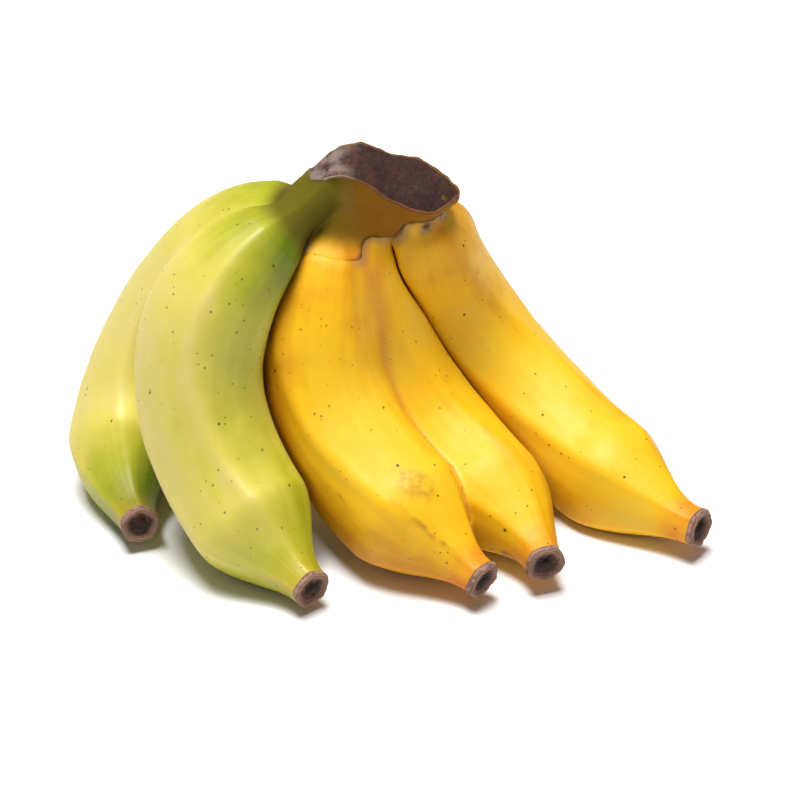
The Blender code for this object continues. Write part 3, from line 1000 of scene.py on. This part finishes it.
def finish_surface(tree, shader, colour, roughness, height, depth, strength):
    tree.links.new(colour, shader.inputs["Base Color"])
    if isinstance(roughness, float):
        shader.inputs["Roughness"].default_value = roughness
    else:
        tree.links.new(roughness, shader.inputs["Roughness"])
    bump = add(tree, "Bump", {"Height": height, "Distance": depth * MM, "Strength": strength})
    tree.links.new(bump.outputs["Normal"], shader.inputs["Normal"])


def skin_material(name, rare, shine):
    """Banana skin whose ripening, with painted light and shade in it, and stains are painted on the mesh."""
    material, tree, shader = new_material(name)
    out = use(tree, SKIN, Ripeness=mark(tree, "ripe"), Rare=rare, Stain=mark(tree, "stain"),
              Bruise=mark(tree, "bruise"), Valley=mark(tree, "valley"), Rub=mark(tree, "rub"))
    finish_surface(tree, shader, out["Color"], out["Roughness"], out["Height"], 0.05, 0.6)
    shader.inputs["Subsurface Weight"].default_value = 0.04
    shader.inputs["Subsurface Radius"].default_value = (1.0, 0.6, 0.15)
    shader.inputs["Subsurface Scale"].default_value = 1.0 * MM
    shader.inputs["Specular IOR Level"].default_value = shine
    return material


def flower_material(name):
    """A dry stump: its rim is paler and has fine rings, and its sunken middle is nearly black."""
    material, tree, shader = new_material(name)
    out = use(tree, DRIED, Pale=0.5)
    noisy = cloud(tree, add(tree, "TexCoord").outputs["Object"], 500.0)
    shaken = free(tree, "MULTIPLY_ADD", noisy, 0.12, mark(tree, "share"))
    rings = free(tree, "SINE", free(tree, "MULTIPLY", shaken, 75.0))
    rim = calc(tree, "MULTIPLY", between(tree, shaken, 0.6, 0.85), between(tree, rings, -0.8, 0.8, 0.35, 0.8))
    colour = mixed(tree, rim, out["Color"], tone(170, 132, 112))
    colour = mixed(tree, between(tree, shaken, 0.6, 0.3, 0.0, 0.6), colour, tone(30, 18, 14))
    finish_surface(tree, shader, colour, 0.85, out["Height"], 0.4, 0.8)
    shader.inputs["Specular IOR Level"].default_value = 0.3
    return material


def crown_material(name):
    """Olive at the left and orange brown at the right, with painted shade below the cut and a painted shadow in the
    crease by the green fruits, and dried on its cut.
    """
    material, tree, shader = new_material(name)
    cut, rim, right, deep = (mark(tree, name) for name in ("cut", "rim", "right", "deep"))
    out = use(tree, SKIN, Ripeness=mark(tree, "ripe"), Rare=1.1, Stain=mark(tree, "stain"),
              Bruise=mark(tree, "bruise"), Valley=0.0)
    # Painted shade: dark olive and orange brown stand in for the shade on the crown's wall below the cut.
    wall = mixed(tree, right, tone(84, 70, 0), tone(118, 80, 0))
    colour = mixed(tree, calc(tree, "MULTIPLY", deep, 0.88), out["Color"], wall)
    colour = mixed(tree, calc(tree, "MULTIPLY", mark(tree, "bruise"), 0.9), colour, tone(34, 24, 28))
    # Painted shadow in the crease between the green fruits and the twin.
    colour = mixed(tree, calc(tree, "MULTIPLY", mark(tree, "hollow"), 0.9), colour, tone(52, 34, 12))
    lip = mixed(tree, right, tone(150, 134, 120), tone(104, 62, 46))
    colour = mixed(tree, between(tree, rim, 0.65, 0.95), colour, lip)
    dried = use(tree, DRIED, Pale=between(tree, right, 0.4, 1.0, 0.9, 0.35))
    patches = between(tree, cloud(tree, add(tree, "TexCoord").outputs["Object"], 220.0, 3.0), 0.35, 0.65)
    grey = calc(tree, "MULTIPLY", between(tree, right, 0.0, 1.0, 0.6, 0.0), patches)
    dry = mixed(tree, grey, dried["Color"], tone(150, 132, 128))
    dry = mixed(tree, between(tree, right, 0.5, 1.0, 0.0, 0.6), dry, tone(44, 26, 26))
    colour = mixed(tree, calc(tree, "MULTIPLY", cut, between(tree, rim, 0.9, 0.5)), colour, dry)
    height = add(tree, "Mix", {0: cut, 2: calc(tree, "MULTIPLY", out["Height"], 0.1), 3: dried["Height"]})
    dull = between(tree, deep, 0.0, 1.0, 0.5, 0.9)
    finish_surface(tree, shader, colour, dull, height.outputs[0], 0.4, 0.8)
    shader.inputs["Specular IOR Level"].default_value = 0.25
    return material


GREEN_SKIN = skin_material("green skin", rare=1.02, shine=0.6)
GOLDEN_SKIN = skin_material("golden skin", rare=1.02, shine=0.28)
CROWN_FLESH = crown_material("crown flesh")
DRY_FLOWER = flower_material("dry flower")
print("materials:", [m.name for m in (GREEN_SKIN, GOLDEN_SKIN, CROWN_FLESH, DRY_FLOWER)])

# %% [markdown]
# ## Every piece on its body
# The whole hand is one body, so every piece rides on root. Each piece stands for the node of the imported model that
# it refines.

# %% Pieces, materials and the imported nodes
def place(piece, material, finish, *nodes):
    piece.data.materials.clear()
    piece.data.materials.append(material)
    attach(piece, "root")
    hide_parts(*nodes)


place(SKINS["green_back"], GREEN_SKIN, "skin_green", "fruit_green_back")
place(SKINS["green_front"], GREEN_SKIN, "skin_green", "fruit_green_front")
place(SKINS["twin"], GOLDEN_SKIN, "skin_yellow", "fruit_yellow_twin")
place(SKINS["yellow_back"], GOLDEN_SKIN, "skin_yellow", "fruit_yellow_back")
place(crown, CROWN_FLESH, "skin_crown", "crown")
for name, piece in FLOWER_ENDS.items():
    place(piece, DRY_FLOWER, "dry_flower", "blossom_end_" + name)

# %% [markdown]
# ## Floor, light and camera
# A white table, one large soft light from above, a little to the left, and a dim pale room give the even look of a
# studio. The camera looks down by 33 degrees from 85 centimetres.

# %% The studio
floor_bm = bmesh.new()
bmesh.ops.create_grid(floor_bm, x_segments=1, y_segments=1, size=4.0)
floor = new_piece("floor", floor_bm)
floor_material, floor_tree, floor_shader = new_material("white table")
floor_shader.inputs["Base Color"].default_value = (0.9, 0.9, 0.9, 1.0)
floor_shader.inputs["Roughness"].default_value = 0.9
floor.data.materials.append(floor_material)

world = bpy.data.worlds.new("pale room")
world.use_nodes = True
world.node_tree.nodes["Background"].inputs["Color"].default_value = (1.0, 1.0, 1.0, 1.0)
world.node_tree.nodes["Background"].inputs["Strength"].default_value = 0.15
bpy.context.scene.world = world


def soft_light(name, place, target, size, power):
    lamp = bpy.data.lights.new(name, "AREA")
    lamp.shape = "SQUARE"
    lamp.size, lamp.energy = size, power
    thing = bpy.data.objects.new(name, lamp)
    thing.location = place
    thing.rotation_euler = (Vector(target) - Vector(place)).to_track_quat("-Z", "Y").to_euler()
    bpy.context.scene.collection.objects.link(thing)


soft_light("key light", (-0.16, -0.05, 2.0), (0.0, 0.0, 0.05), 0.9, 64.5)

DISTANCE, DOWN = 0.85, math.radians(33.0)
TARGET = Vector((0.0045, 0.0091, 0.0373))
camera_data = bpy.data.cameras.new("camera")
camera_data.lens, camera_data.sensor_width = 120.66, 36.0
camera = bpy.data.objects.new("camera", camera_data)
camera.location = TARGET + Vector((0.0, -math.cos(DOWN), math.sin(DOWN))) * DISTANCE
camera.rotation_euler = (math.pi / 2.0 - DOWN, 0.0, 0.0)
bpy.context.scene.collection.objects.link(camera)
bpy.context.scene.camera = camera
bpy.context.scene.view_settings.view_transform = "Standard"
